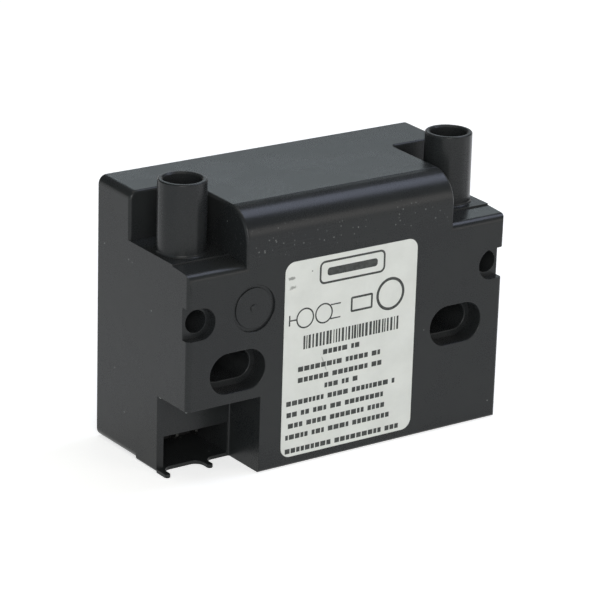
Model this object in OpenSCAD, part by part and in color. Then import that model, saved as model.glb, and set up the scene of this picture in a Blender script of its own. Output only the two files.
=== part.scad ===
// Potted two-pole ignition transformer in a moulded case.
// The case stands on its bottom face. X runs across the front, -Y is the labelled front,
// and the origin is the middle of the bottom.

/* [Case] */
// Width of the case
body_w = 97; // [95:1:110]
// Depth of the case, from the front face to the open back rim
body_d = 42; // [41:1:52]
// Height of the case at its back edge
body_h = 70; // [69:1:84]
// Thickness of the side, top and bottom walls
wall = 2.3; // [1.8:0.1:2.6]
// Thickness of the front wall
front_wall = 2.5; // [2:0.1:3]
// Distance of the parting line behind the front face
parting_d = 7.5; // [6:0.5:8]
// Width of the fine groove along the parting line of the top face
parting_groove = 0.35; // [0.2:0.05:0.5]
// Fall of the top face from the back rim to the parting line
top_fall = 0.8; // [0.2:0.1:1.2]
// Radius of the large rounding between the top and the front
front_round = 8.5; // [8:0.5:11]
// Radius of the long side edges
side_edge_r = 2.3; // [1.5:0.1:3]
// Radius of the side edges under the connection recess
recess_edge_r = 1; // [0.5:0.1:1.5]
// Length of those sharper edges, from the front face
recess_edge_l = 23; // [20:1:26]
// Radius of the upright front edges
front_edge_r = 1.3; // [0.8:0.1:2]
// Radius of the front bottom edge
bottom_edge_r = 1; // [0.5:0.1:1.5]

/* [Corner steps] */
// Width of each upper corner step
step_w = 16.8; // [16:0.2:18]
// Depth of each step, from the front face
step_d = 27.2; // [25:0.2:28]
// Height of the case top above the step floor
step_drop = 13; // [11:0.5:14]
// Fall of the step floor from its back wall to the parting line
floor_back_fall = 0.35; // [0.1:0.05:0.6]
// Small ledge of the step floor at the parting line
floor_ledge = 0.4; // [0.1:0.1:0.6]
// Fall of the step floor from the parting line to the front
floor_front_fall = 0.4; // [0.1:0.1:0.6]
// Radius of the step's front edge
step_front_r = 2.3; // [1:0.1:3]
// Radius of the upright inner corner of the step
step_corner_r = 1.2; // [0.6:0.1:2]
// Radius of the convex edges round the step: of the raised block and of the part behind the step
block_edge_r = 0.8; // [0.4:0.1:1]

/* [Chimneys] */
// Distance of a chimney's axis from the side face
chimney_inset = 7.7; // [7.4:0.1:8.4]
// Distance of a chimney's axis behind the front face
chimney_setback = 15.5; // [14:0.5:17]
// Outside diameter of a chimney at its rim
chimney_od = 12.3; // [11.6:0.1:13]
// Inside diameter of a chimney
chimney_id = 9.6; // [9:0.1:10]
// Height of a chimney above the step
chimney_h = 18.3; // [16:0.5:24]
// Widening of the chimney's outside radius at its foot
chimney_draft = 0.12; // [0.05:0.01:0.2]
// Radius of the rim's rounding
rim_r = 0.45; // [0.3:0.05:0.5]
// Width of the chamfer inside the rim
rim_chamfer = 0.45; // [0.2:0.05:0.5]
// Radius of the fillet at a chimney's foot
foot_r = 0.7; // [0.3:0.1:1]

/* [Screw holes] */
// Distance between a screw hole's axis and the side face
hole_inset = 3.75; // [3.7:0.05:4.4]
// Height of the screw holes
hole_z = 42.9; // [41:0.5:44]
// Diameter of the screw holes
hole_d = 5.8; // [4.5:0.1:5.9]
// Diameter of the counterbore, which opens through the side face
hole_cbore_d = 8.2; // [7.8:0.1:9]
// Depth of the counterbore
hole_cbore_depth = 2.6; // [1.5:0.1:4]
// Wall round a screw hole inside the case
hole_wall = 1.9; // [1.4:0.1:2.2]

/* [Mounting slots] */
// Distance between a slot's centre and the side face
slot_inset = 14.8; // [13.6:0.2:15]
// Height of the slots
slot_z = 28.5; // [28:0.5:31]
// Width of a slot
slot_w = 7.1; // [5.5:0.1:7.5]
// Length of a slot from end to end
slot_l = 13.4; // [10:0.2:13.8]
// Width of a slot's counterbore
slot_cbore_w = 10.6; // [9.6:0.1:11]
// Length of a slot's counterbore
slot_cbore_l = 16.3; // [15:0.1:16.8]
// Depth of a slot's counterbore
slot_cbore_depth = 5; // [3:0.5:7]
// Wall round a slot inside the case
slot_wall = 1.9; // [1.5:0.1:2.1]

/* [Connection recess] */
// Width of the recess at the lower left corner
recess_w = 21.7; // [21:0.1:22.5]
// Depth of the recess behind the front face
recess_d = 13.4; // [12:0.2:14]
// Height of the recess
recess_h = 20.5; // [18:0.5:21]
// Thickness of the recess walls inside the case
recess_wall = 2; // [1.5:0.1:2.2]
// Distance of the connection socket from the left side face
socket_inset = 2.1; // [1.8:0.1:2.3]
// Width of the socket
socket_w = 19; // [18.4:0.1:19.2]
// Height of the socket
socket_h = 8.2; // [7:0.1:9]
// Height of the socket's floor, which is also the thickness of the teeth
socket_z = 1; // [0.8:0.1:1.4]
// Room for the leads between the socket's end and the seal coat
wiring_room = 8.6; // [8.6:0.1:9.6]
// Wall round the socket inside the case
socket_wall = 1.5; // [1.2:0.1:1.6]
// Reach of the teeth in front of the socket
tooth_l = 4.6; // [3:0.2:5]
// Width of a tooth at its tip
tooth_tip = 1.6; // [1.2:0.1:2]
// Radius of the hollow beside a tooth
tooth_hollow_r = 2.4; // [1.5:0.1:2.6]
// Distance of the second tooth from the left side face
tooth_x = 13.4; // [12:0.2:14]

/* [Gate mark] */
// Distance of the round mark from the case's middle
gate_x = 29.2; // [28:0.2:30]
// Height of the round mark
gate_z = 44.2; // [43:0.2:46]
// Diameter of the round mark
gate_d = 12.2; // [9:0.2:13]
// Width of the groove round the mark
gate_groove_w = 0.8; // [0.5:0.1:1.2]
// Depth of the groove round the mark
gate_groove_depth = 0.6; // [0.3:0.1:1]
// Depth of the disc inside the groove
gate_depth = 0.25; // [0.1:0.05:0.5]
// Diameter of the injection point in the middle
gate_nub_d = 2; // [1:0.1:3]

/* [Label] */
// Width of the label
label_w = 40.6; // [34:0.2:42]
// Height of the label
label_h = 51.8; // [40:0.2:54]
// Height of the label's lower edge above the bottom
label_z = 2.5; // [1.5:0.1:4]
// Corner radius of the label
label_r = 2.8; // [1:0.1:4]
// Thickness of the label
label_t = 0.12; // [0.08:0.01:0.2]

/* [Potting] */
// Distance of the seal coat's surface below the back rim
fill_drop = 0.8; // [0.3:0.1:1.2]
// Thickness of the seal coat over the potting resin
seal_t = 1.2; // [0.8:0.1:1.3]

/* [Core] */
// Distance of the core from the side faces
core_inset = 25.5; // [25.5:0.1:26.5]
// Distance of the core from the bottom wall
core_rise = 2.7; // [2:0.1:3.4]
// Distance of the core from the top wall
core_drop = 3.9; // [3:0.1:4.5]
// Part of the core's width that its middle leg takes
middle_share = 0.26; // [0.24:0.01:0.27]
// Part of the core's width that each outer leg takes, which is also a yoke's height
outer_share = 0.15; // [0.14:0.01:0.16]

/* [Coils] */
// Resin between a coil and the front wall, and behind the coil
coil_clear = 1.75; // [1.75:0.05:2.2]
// Clearance between a bobbin and the core
coil_gap = 0.4; // [0.2:0.1:0.5]
// Wall of a bobbin's tube
bobbin_t = 1; // [0.8:0.1:1.2]
// Thickness of a bobbin's flanges
flange_t = 1.1; // [0.8:0.1:1.2]
// Corner radius of the flanges and windings
coil_r = 2; // [1:0.1:3]
// Distance of a winding below its flanges' edge
winding_drop = 0.6; // [0.4:0.1:1]
// Height of the primary bobbin
primary_h = 12; // [10:0.5:12]
// Height of a magnetic shunt
shunt_h = 3.4; // [2.5:0.1:3.4]
// Gap between a shunt and the core's legs
shunt_gap = 0.3; // [0.2:0.1:0.5]
// Number of chambers in a secondary bobbin
chambers = 4; // [3:1:5]

/* [High-voltage contacts] */
// Diameter of a contact pin
pin_d = 4; // [3.5:0.1:4.4]
// Height of a contact pin above its collar
pin_h = 10; // [8:0.5:12]
// Diameter of the collar on the chimney's floor
collar_d = 6; // [5.2:0.1:7]
// Thickness of the collar
collar_t = 1; // [0.8:0.1:1.4]
// Diameter of the shank through the chimney's floor
shank_d = 3; // [2.5:0.1:3.2]
// Diameter of the head under the floor
head_d = 5.2; // [4.6:0.1:6]
// Thickness of that head
head_t = 2; // [1.5:0.1:2.4]
// Chamfer of a contact pin's tip
pin_chamfer = 0.7; // [0.3:0.1:1]
// Clearance of the shank in its hole
shank_gap = 0.03; // [0.01:0.01:0.05]

/* [Low-voltage tabs] */
// Width of a tab's blade
tab_w = 4.8; // [4:0.1:5]
// Thickness of a tab
tab_t = 0.8; // [0.5:0.1:0.8]
// Distance between neighbouring tabs
tab_pitch = 5.9; // [5.4:0.1:6]
// Free length of a blade in front of the terminal block
tab_free = 7; // [6:0.5:8]
// Gap between a blade and the socket's ceiling
tab_headroom = 0.9; // [0.6:0.1:1.4]
// Length of a tab's tail behind the terminal block
tail_l = 2.6; // [2.4:0.1:3]
// Height of a tab's tail
tail_w = 3; // [2.6:0.1:3.4]
// Thickness of the terminal block
block_t = 2.4; // [2:0.1:3]
// Clearance round the terminal block in its socket
block_gap = 0.05; // [0.02:0.01:0.1]
// Chamfer of a blade's tip
tab_chamfer = 0.9; // [0.5:0.1:1.2]
// Diameter of the hole in a blade
tab_hole_d = 1.8; // [1.4:0.1:2]

/* [Leads] */
// Diameter of a high-voltage lead
hv_lead_d = 3; // [2.4:0.1:3]
// Diameter of a low-voltage lead
lv_lead_d = 2; // [1.6:0.1:2]
// Distance of a high-voltage lead from the front end of its coil
hv_lead_edge = 5; // [4:0.5:6]
// Distance of the left high-voltage lead below the upper secondary
hv_lead_drop = 5.5; // [5:0.1:6]
// Rise of the earth lead above the tabs
earth_rise = 4; // [3.9:0.1:4.6]
// Distance of the neutral lead behind its tab
neutral_run = 2; // [1.8:0.1:2.2]
// Distance of the live lead behind its tab
live_run = 4.6; // [4.4:0.1:4.8]

/* [Hidden] */
$fn = 64;

// Overshoot of a cut past the face that it opens
cut = 1;

// Case: faces and levels
side_x = body_w / 2;
front_y = -body_d / 2;
back_y = body_d / 2;
parting_y = front_y + parting_d;
inner_front_y = front_y + front_wall;
step_x = side_x - step_w;
step_back_y = front_y + step_d;
step_z = body_h - step_drop;
parting_floor_z = step_z - floor_back_fall;
front_floor_z = parting_floor_z - floor_ledge - floor_front_fall;
inner_floor_z = front_floor_z - wall;
crease_z = body_h - top_fall;
inner_top_z = crease_z - wall;
top_slope = top_fall / (body_d - parting_d);
// Level of the top where the edge of the part behind a step becomes round
behind_top_z = crease_z + top_slope * (step_back_y + block_edge_r - parting_y);
// Centre of the large rounding: it touches the front face and meets the parting line
round_y = front_y + front_round;
round_z = crease_z - sqrt(pow(front_round, 2) - pow(round_y - parting_y, 2));

// Chimneys and their contacts
chimney_x = side_x - chimney_inset;
chimney_y = front_y + chimney_setback;
chimney_top_z = step_z + chimney_h;
head_z = inner_floor_z - head_t;

// Holes and slots
hole_x = side_x - hole_inset;
slot_x = side_x - slot_inset;

// Connection recess and socket
recess_x = -side_x + recess_w;
recess_y = front_y + recess_d;
socket_x0 = -side_x + socket_inset;
socket_x1 = socket_x0 + socket_w;
tab_z = socket_z + socket_h - tab_headroom - tab_w / 2;
tab_mid_x = (socket_x0 + socket_x1) / 2;

// Potting, and the terminal block that lies in front of it
fill_y = back_y - fill_drop;
pour_y = fill_y - seal_t;
socket_end_y = pour_y - wiring_room;
block_y = socket_end_y - block_t;
tail_end_y = socket_end_y + tail_l;

// Core and coils, centred between the front wall and the resin's surface
core_y = (inner_front_y + fill_y) / 2;
core_w = body_w - 2 * core_inset;
middle_leg = core_w * middle_share;
outer_leg = core_w * outer_share;
yoke_h = outer_leg;
core_z = wall + core_rise;
core_top_z = inner_top_z - core_drop;
window_w = (core_w - middle_leg) / 2 - outer_leg;
window_z0 = core_z + yoke_h;
window_z1 = core_top_z - yoke_h;
coil_w = middle_leg + 2 * (window_w - coil_gap);
coil_d = fill_y - inner_front_y - 2 * coil_clear;
stack_t = coil_d - 2 * (window_w - coil_gap);
primary_z = window_z0 + coil_gap;
shunt_z = primary_z + primary_h + coil_gap;
secondary_z = shunt_z + shunt_h + coil_gap;
secondary_h = (window_z1 - secondary_z) / 2 - coil_gap;
upper_secondary_z = secondary_z + secondary_h + coil_gap;
wrap_t = winding_drop / 2;
hv_lead_y = core_y - coil_d / 2 + hv_lead_edge;
hv_turn_z = (head_z + hole_z + hole_d / 2 + hole_wall) / 2;

// Small solids and outlines

module block(x0, x1, y0, y1, z0, z1) {
    translate([x0, y0, z0]) cube([x1 - x0, y1 - y0, z1 - z0]);
}

// Extrudes an outline of (y, z) along X from x0 to x1
module along_x(x0, x1) {
    translate([x0, 0, 0]) rotate([90, 0, 90]) linear_extrude(x1 - x0) children();
}

// Extrudes an outline of (x, z) along Y from y0 to y1
module along_y(y0, y1) {
    translate([0, y1, 0]) rotate([90, 0, 0]) linear_extrude(y1 - y0) children();
}

// Waste outside a rounded outline corner at (x, y); sx and sy point from the corner outwards
module corner_waste(x, y, sx, sy, r) {
    translate([x, y]) scale([sx, sy]) difference() {
        translate([-r, -r]) square(r + cut);
        translate([-r, -r]) circle(r);
    }
}

module rounded_rect(w, h, r) {
    union() {
        square([w, h - 2 * r], center = true);
        square([w - 2 * r, h], center = true);
        for (sx = [-1, 1], sy = [-1, 1]) {
            translate([sx * (w / 2 - r), sy * (h / 2 - r)]) circle(r);
        }
    }
}

// A slot's outline: round ends, l from end to end and w wide
module stadium(l, w) {
    union() {
        square([l - w, w], center = true);
        for (s = [-1, 1]) translate([s * (l - w) / 2, 0]) circle(d = w);
    }
}

// A lead of round section through a list of points
module lead(points, d) {
    union() {
        for (i = [0 : len(points) - 2]) {
            v = points[i + 1] - points[i];
            flat = norm([v.x, v.y]);
            translate(points[i]) rotate([0, atan2(flat, v.z), atan2(v.y, v.x)])
                cylinder(h = norm(v), d = d, $fn = 32);
        }
        for (i = [1 : len(points) - 2]) translate(points[i]) sphere(d = d, $fn = 32);
    }
}

// Case: outer form

module side_outline() {
    difference() {
        polygon([[front_y, 0], [back_y, 0], [back_y, body_h],
                 [parting_y, crease_z], [front_y, crease_z]]);
        corner_waste(front_y, 0, -1, -1, bottom_edge_r);
        translate([parting_y, crease_z]) rotate(45)
            square(parting_groove / sqrt(2), center = true);
        difference() {
            translate([front_y - cut, round_z]) square([parting_d + cut, front_round + cut]);
            translate([round_y, round_z]) circle(front_round, $fn = 128);
        }
    }
}

module plan_outline() {
    difference() {
        translate([-side_x, front_y]) square([body_w, body_d]);
        for (s = [-1, 1]) corner_waste(s * side_x, front_y, s, -1, front_edge_r);
    }
}

module front_outline(bottom_r) {
    difference() {
        translate([-side_x, 0]) square([body_w, body_h]);
        for (s = [-1, 1]) corner_waste(s * side_x, 0, s, -1, bottom_r);
    }
}

// Places children on the sloping top: z = 0 is its surface and y = 0 the parting line
module on_top() {
    translate([0, parting_y, crease_z]) rotate([atan(top_slope), 0, 0]) children();
}

module outer_form() {
    difference() {
        intersection() {
            along_x(-side_x, side_x) side_outline();
            linear_extrude(body_h) plan_outline();
            union() {
                along_y(front_y, back_y) front_outline(side_edge_r);
                along_y(front_y, front_y + recess_edge_l) front_outline(recess_edge_r);
            }
        }
        for (s = [-1, 1]) {
            on_top() along_y(-cut, body_d) corner_waste(s * side_x, 0, s, 1, side_edge_r);
        }
    }
}

// Case: corner steps

// The air above a step, as an outline of (y, z)
module step_outline() {
    union() {
        polygon([[front_y - cut, front_floor_z], [front_y + step_front_r, front_floor_z],
                 [parting_y, parting_floor_z - floor_ledge], [parting_y, parting_floor_z],
                 [step_back_y, step_z], [step_back_y, body_h + cut],
                 [front_y - cut, body_h + cut]]);
        corner_waste(front_y, front_floor_z, -1, 1, step_front_r);
    }
}

module step_air(s) {
    x0 = s > 0 ? step_x : -side_x - cut;
    x1 = s > 0 ? side_x + cut : -step_x;
    difference() {
        along_x(x0, x1) step_outline();
        linear_extrude(body_h + cut) translate([s * step_x, step_back_y]) scale([-s, 1])
            difference() {
                translate([-step_corner_r, -step_corner_r]) square(step_corner_r + cut);
                translate([-step_corner_r, -step_corner_r]) circle(step_corner_r);
            }
    }
}

// Waste outside the block's edge beside a step: up the front, over the rounding, along the top
// and round the step's inner corner
module block_edge_waste(s) {
    r = block_edge_r;
    top_l = (step_back_y - step_corner_r - parting_y) / cos(atan(top_slope));
    intersection() {
        along_x(s * step_x - r, s * step_x + r) step_outline();
        union() {
            linear_extrude(round_z) corner_waste(s * step_x, front_y, s, -1, r);
            translate([s * step_x, round_y, round_z])
                rotate([0, s * 90, 0]) rotate([0, 0, s > 0 ? 180 : -90])
                    rotate_extrude(angle = 90, $fn = 128)
                        corner_waste(front_round, 0, 1, 1, r);
            on_top() along_y(-r / 2, top_l) corner_waste(s * step_x, 0, s, 1, r);
        }
    }
    translate([s * (step_x + step_corner_r), step_back_y - step_corner_r, behind_top_z])
        rotate([0, 0, s > 0 ? 90 : 0]) rotate_extrude(angle = 90) difference() {
            translate([step_corner_r / 2, -r]) square([step_corner_r / 2 + r, r + cut]);
            translate([step_corner_r + r, -r]) circle(r);
        }
}

// Waste outside the front edge of the full-width part behind a step
module behind_edge_waste(s) {
    r = block_edge_r;
    turn_x = side_x - side_edge_r;
    x0 = s > 0 ? step_x + step_corner_r : -turn_x;
    x1 = s > 0 ? turn_x : -step_x - step_corner_r;
    along_x(x0, x1) corner_waste(step_back_y, behind_top_z, -1, 1, r);
    translate([s * turn_x, step_back_y, behind_top_z - side_edge_r])
        rotate([-90, 0, 0]) rotate([0, 0, s > 0 ? -90 : 180])
            rotate_extrude(angle = 90) corner_waste(side_edge_r, 0, 1, -1, r);
    translate([0, 0, step_z]) linear_extrude(behind_top_z - side_edge_r - step_z)
        corner_waste(s * side_x, step_back_y, s, -1, r);
}

// Case: chimneys

module chimney_outside(s) {
    top_r = chimney_od / 2;
    foot = top_r + chimney_draft;
    mouth_r = chimney_id / 2 + rim_chamfer;
    translate([s * chimney_x, chimney_y, 0]) rotate_extrude($fn = 96) union() {
        polygon([[0, inner_floor_z], [foot, inner_floor_z], [foot, step_z],
                 [top_r, chimney_top_z - rim_r], [0, chimney_top_z - rim_r]]);
        translate([0, step_z - floor_back_fall]) difference() {
            square([foot + foot_r, foot_r]);
            translate([foot + foot_r, foot_r]) circle(foot_r);
        }
        translate([0, chimney_top_z - 2 * rim_r]) square([top_r - rim_r, 2 * rim_r]);
        translate([top_r - rim_r, chimney_top_z - rim_r]) circle(rim_r);
    }
}

module chimney_bore(s) {
    translate([s * chimney_x, chimney_y, 0]) {
        translate([0, 0, step_z]) cylinder(h = chimney_h + cut, d = chimney_id, $fn = 96);
        translate([0, 0, chimney_top_z - rim_chamfer])
            cylinder(h = rim_chamfer, d1 = chimney_id, d2 = chimney_id + 2 * rim_chamfer, $fn = 96);
        translate([0, 0, inner_floor_z - cut])
            cylinder(h = step_z - inner_floor_z + 2 * cut, d = shank_d + 2 * shank_gap);
    }
}

// Case: holes, slots and their bosses

module hole_outline(s, d) {
    translate([s * hole_x, hole_z]) circle(d = d);
}

// A screw hole's counterbore or boss, which runs out to the side face
module open_hole_outline(s, d) {
    hole_outline(s, d);
    translate([s > 0 ? hole_x : -hole_x - hole_inset - cut, hole_z - d / 2])
        square([hole_inset + cut, d]);
}

module slot_outline(s, l, w) {
    translate([s * slot_x, slot_z]) stadium(l, w);
}

module front_openings() {
    for (s = [-1, 1]) {
        along_y(front_y - cut, back_y + cut) hole_outline(s, hole_d);
        along_y(front_y - cut, front_y + hole_cbore_depth) open_hole_outline(s, hole_cbore_d);
        along_y(front_y - cut, back_y + cut) slot_outline(s, slot_l, slot_w);
        along_y(front_y - cut, front_y + slot_cbore_depth)
            slot_outline(s, slot_cbore_l, slot_cbore_w);
    }
}

module bosses() {
    for (s = [-1, 1]) {
        along_y(front_y, back_y) open_hole_outline(s, hole_d + 2 * hole_wall);
        along_y(front_y, front_y + hole_cbore_depth + wall)
            open_hole_outline(s, hole_cbore_d + 2 * hole_wall);
        along_y(front_y, back_y)
            slot_outline(s, slot_l + 2 * slot_wall, slot_w + 2 * slot_wall);
        along_y(front_y, front_y + slot_cbore_depth + slot_wall)
            slot_outline(s, slot_cbore_l + 2 * slot_wall, slot_cbore_w + 2 * slot_wall);
    }
}

// Case: connection recess

module recess_air() {
    block(-side_x - cut, recess_x, front_y - cut, recess_y, -cut, recess_h);
    block(socket_x0, socket_x1, recess_y - cut, socket_end_y, socket_z, socket_z + socket_h);
}

module recess_shell() {
    block(-side_x, recess_x + recess_wall, front_y, recess_y + recess_wall,
          0, recess_h + recess_wall);
    block(-side_x, socket_x1 + socket_wall, recess_y, socket_end_y,
          0, socket_z + socket_h + socket_wall);
}

// A tooth's outline of (x, y) round x = 0: a round tip, and a hollow on each side of its root
module tooth_outline() {
    half = tooth_tip / 2;
    union() {
        translate([-half, half - tooth_l]) square([tooth_tip, tooth_l]);
        translate([0, half - tooth_l]) circle(half);
        for (s = [-1, 1]) scale([s, 1]) difference() {
            translate([0, -tooth_hollow_r]) square([half + tooth_hollow_r, tooth_hollow_r + half]);
            translate([half + tooth_hollow_r, -tooth_hollow_r]) circle(tooth_hollow_r);
        }
    }
}

module teeth() {
    linear_extrude(socket_z) intersection() {
        translate([-side_x, front_y]) square([recess_w, recess_d]);
        for (x = [tooth_tip / 2, tooth_x]) translate([x - side_x, recess_y]) tooth_outline();
    }
}

// Case: gate mark

module gate_mark() {
    translate([-gate_x, front_y, gate_z]) rotate([90, 0, 0]) {
        translate([0, 0, -gate_groove_depth]) difference() {
            cylinder(h = gate_groove_depth + cut, d = gate_d);
            translate([0, 0, -cut])
                cylinder(h = gate_groove_depth + 3 * cut, d = gate_d - 2 * gate_groove_w);
        }
        translate([0, 0, -gate_depth]) difference() {
            cylinder(h = gate_depth + cut, d = gate_d - gate_groove_w);
            translate([0, 0, -cut]) cylinder(h = gate_depth + 3 * cut, d = gate_nub_d);
        }
    }
}

// The room inside the case that is open at the back
module cavity() {
    inner_round = front_round - wall;
    difference() {
        union() {
            block(-side_x + wall, side_x - wall, inner_front_y, back_y + cut, wall, inner_floor_z);
            block(-side_x + wall, side_x - wall, step_back_y + wall, back_y + cut,
                  inner_floor_z - cut, inner_top_z);
            along_x(-step_x + wall, step_x - wall) union() {
                translate([round_y, wall]) square([back_y + cut - round_y, inner_top_z - wall]);
                translate([inner_front_y, wall])
                    square([round_y - inner_front_y, round_z - wall]);
                intersection() {
                    translate([round_y, round_z]) circle(inner_round, $fn = 128);
                    translate([inner_front_y, 0]) square([inner_round, inner_top_z]);
                }
            }
        }
        bosses();
        recess_shell();
    }
}

module case() {
    color("#232426") difference() {
        union() {
            difference() {
                outer_form();
                for (s = [-1, 1]) {
                    step_air(s);
                    block_edge_waste(s);
                    behind_edge_waste(s);
                }
                recess_air();
            }
            for (s = [-1, 1]) chimney_outside(s);
            teeth();
        }
        cavity();
        front_openings();
        for (s = [-1, 1]) chimney_bore(s);
        gate_mark();
    }
}

module rating_label() {
    color("#d6d8d3") translate([0, 0, label_z + label_h / 2])
        along_y(front_y - label_t, front_y) rounded_rect(label_w, label_h, label_r);
}

// Core

module core_e_stack() {
    color("#7d7f82") difference() {
        block(-core_w / 2, core_w / 2, core_y - stack_t / 2, core_y + stack_t / 2,
              core_z, window_z1);
        for (s = [-1, 1]) {
            x = s * (middle_leg + window_w) / 2;
            block(x - window_w / 2, x + window_w / 2, core_y - stack_t, core_y + stack_t,
                  window_z0, window_z1 + cut);
        }
    }
}

module core_i_stack() {
    color("#7d7f82") block(-core_w / 2, core_w / 2, core_y - stack_t / 2, core_y + stack_t / 2,
                           window_z1, core_top_z);
}

module shunt(s) {
    x = s * (middle_leg + window_w) / 2;
    half = window_w / 2 - shunt_gap;
    color("#8b8d90") block(x - half, x + half, core_y - stack_t / 2, core_y + stack_t / 2,
                           shunt_z, shunt_z + shunt_h);
}

module shunt_left() { shunt(-1); }
module shunt_right() { shunt(1); }

// Coils

// A ring round the middle leg, from z0 to z1: inset is its distance inside the flanges' edge
module coil_ring(z0, z1, inset, opening_w, opening_d) {
    translate([0, core_y, z0]) linear_extrude(z1 - z0) difference() {
        rounded_rect(coil_w - 2 * inset, coil_d - 2 * inset, coil_r);
        square([opening_w, opening_d], center = true);
    }
}

module bobbin(z0, h, sections) {
    bore_w = middle_leg + 2 * coil_gap;
    bore_d = stack_t + 2 * coil_gap;
    pitch = (h - flange_t) / sections;
    union() {
        translate([0, core_y, z0]) linear_extrude(h) difference() {
            square([bore_w + 2 * bobbin_t, bore_d + 2 * bobbin_t], center = true);
            square([bore_w, bore_d], center = true);
        }
        for (i = [0 : sections]) {
            coil_ring(z0 + i * pitch, z0 + i * pitch + flange_t, 0, bore_w, bore_d);
        }
    }
}

module winding(z0, h, sections) {
    tube_w = middle_leg + 2 * coil_gap + 2 * bobbin_t;
    tube_d = stack_t + 2 * coil_gap + 2 * bobbin_t;
    pitch = (h - flange_t) / sections;
    for (i = [0 : sections - 1]) {
        coil_ring(z0 + i * pitch + flange_t, z0 + (i + 1) * pitch, winding_drop, tube_w, tube_d);
    }
}

module primary_bobbin() { color("#d8d2c0") bobbin(primary_z, primary_h, 1); }
module primary_winding() { color("#b3622e") winding(primary_z, primary_h, 1); }

module primary_wrap() {
    color("#d9b24a") translate([0, core_y, primary_z + flange_t])
        linear_extrude(primary_h - 2 * flange_t) difference() {
            rounded_rect(coil_w - 2 * winding_drop + 2 * wrap_t,
                         coil_d - 2 * winding_drop + 2 * wrap_t, coil_r + wrap_t);
            rounded_rect(coil_w - 2 * winding_drop, coil_d - 2 * winding_drop, coil_r);
        }
}

module lower_secondary_bobbin() {
    color("#d8d2c0") bobbin(secondary_z, secondary_h, chambers);
}

module lower_secondary_winding() {
    color("#b3622e") winding(secondary_z, secondary_h, chambers);
}

module upper_secondary_bobbin() {
    color("#d8d2c0") bobbin(upper_secondary_z, secondary_h, chambers);
}

module upper_secondary_winding() {
    color("#b3622e") winding(upper_secondary_z, secondary_h, chambers);
}

// High-voltage contacts and leads

module hv_contact(s) {
    color("#c9a24b") translate([s * chimney_x, chimney_y, 0]) union() {
        translate([0, 0, head_z]) cylinder(h = head_t, d = head_d);
        translate([0, 0, inner_floor_z]) cylinder(h = step_z - inner_floor_z, d = shank_d);
        translate([0, 0, step_z]) cylinder(h = collar_t, d = collar_d);
        translate([0, 0, step_z + collar_t]) cylinder(h = pin_h - pin_chamfer, d = pin_d);
        translate([0, 0, step_z + collar_t + pin_h - pin_chamfer])
            cylinder(h = pin_chamfer, d1 = pin_d, d2 = pin_d - 2 * pin_chamfer);
    }
}

// A lead from its coil's edge, at height z, out past the core and up to the contact's head
module hv_lead(s, z) {
    turn_x = (slot_x + step_x) / 2;
    color("#8f2f24") lead([[s * coil_w / 2, hv_lead_y, z],
                           [s * turn_x, hv_lead_y, z],
                           [s * turn_x, hv_lead_y, hv_turn_z],
                           [s * turn_x, chimney_y, hv_turn_z],
                           [s * chimney_x, chimney_y, hv_turn_z],
                           [s * chimney_x, chimney_y, head_z]], hv_lead_d);
}

module hv_contact_left() { hv_contact(-1); }
module hv_contact_right() { hv_contact(1); }
module hv_lead_left() { hv_lead(-1, upper_secondary_z - hv_lead_drop); }
module hv_lead_right() { hv_lead(1, upper_secondary_z + hv_lead_d / 2); }

// Low-voltage terminals and leads

module terminal_block() {
    color("#2c2d2f") difference() {
        block(socket_x0 + block_gap, socket_x1 - block_gap, block_y, socket_end_y,
              socket_z + block_gap, socket_z + socket_h - block_gap);
        for (i = [-1 : 1]) {
            block(tab_x(i) - tab_t / 2, tab_x(i) + tab_t / 2, block_y - cut, socket_end_y + cut,
                  tab_z - tail_w / 2, tab_z + tail_w / 2);
        }
    }
}

function tab_x(i) = tab_mid_x + i * tab_pitch;

module tab(i) {
    tip_y = block_y - tab_free;
    color("#b9bcbf") along_x(tab_x(i) - tab_t / 2, tab_x(i) + tab_t / 2)
        translate([0, tab_z]) difference() {
            polygon([[tip_y, -tab_w / 2 + tab_chamfer], [tip_y + tab_chamfer, -tab_w / 2],
                     [block_y, -tab_w / 2], [block_y, -tail_w / 2],
                     [tail_end_y, -tail_w / 2], [tail_end_y, tail_w / 2],
                     [block_y, tail_w / 2], [block_y, tab_w / 2],
                     [tip_y + tab_chamfer, tab_w / 2], [tip_y, tab_w / 2 - tab_chamfer]]);
            translate([tip_y + tab_free / 2, 0]) circle(d = tab_hole_d);
        }
}

module live_tab() { tab(-1); }
module earth_tab() { tab(0); }
module neutral_tab() { tab(1); }

// A lead from a tab's tail, behind the core and up to the primary bobbin
module primary_lead(i, run, end_x) {
    lead([[tab_x(i), tail_end_y, tab_z], [tab_x(i), tail_end_y + run, tab_z],
          [end_x, tail_end_y + run, tab_z], [end_x, tail_end_y + run, primary_z]],
         lv_lead_d);
}

module live_lead() {
    color("#6b4a2f") primary_lead(-1, live_run, -middle_leg / 2);
}

module neutral_lead() {
    color("#2f5fa0") primary_lead(1, neutral_run, -middle_leg / 2 - 2 * lv_lead_d);
}

module earth_lead() {
    end_x = -core_w / 2 + 2 * lv_lead_d;
    y = tail_end_y + neutral_run;
    z = tab_z + earth_rise;
    color("#5d8f3a") lead([[tab_x(0), tail_end_y, tab_z], [tab_x(0), y, tab_z],
                           [tab_x(0), y, z], [end_x, y, z], [end_x, core_y + stack_t / 2, z]],
                          lv_lead_d);
}

// Resin: what is left of the cavity up to the pour's level, and the seal coat over it

module embedded() {
    core_e_stack();
    core_i_stack();
    shunt_left();
    shunt_right();
    primary_bobbin();
    primary_winding();
    primary_wrap();
    lower_secondary_bobbin();
    lower_secondary_winding();
    upper_secondary_bobbin();
    upper_secondary_winding();
    hv_contact_left();
    hv_contact_right();
    hv_lead_left();
    hv_lead_right();
    live_tab();
    earth_tab();
    neutral_tab();
    live_lead();
    neutral_lead();
    earth_lead();
}

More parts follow.
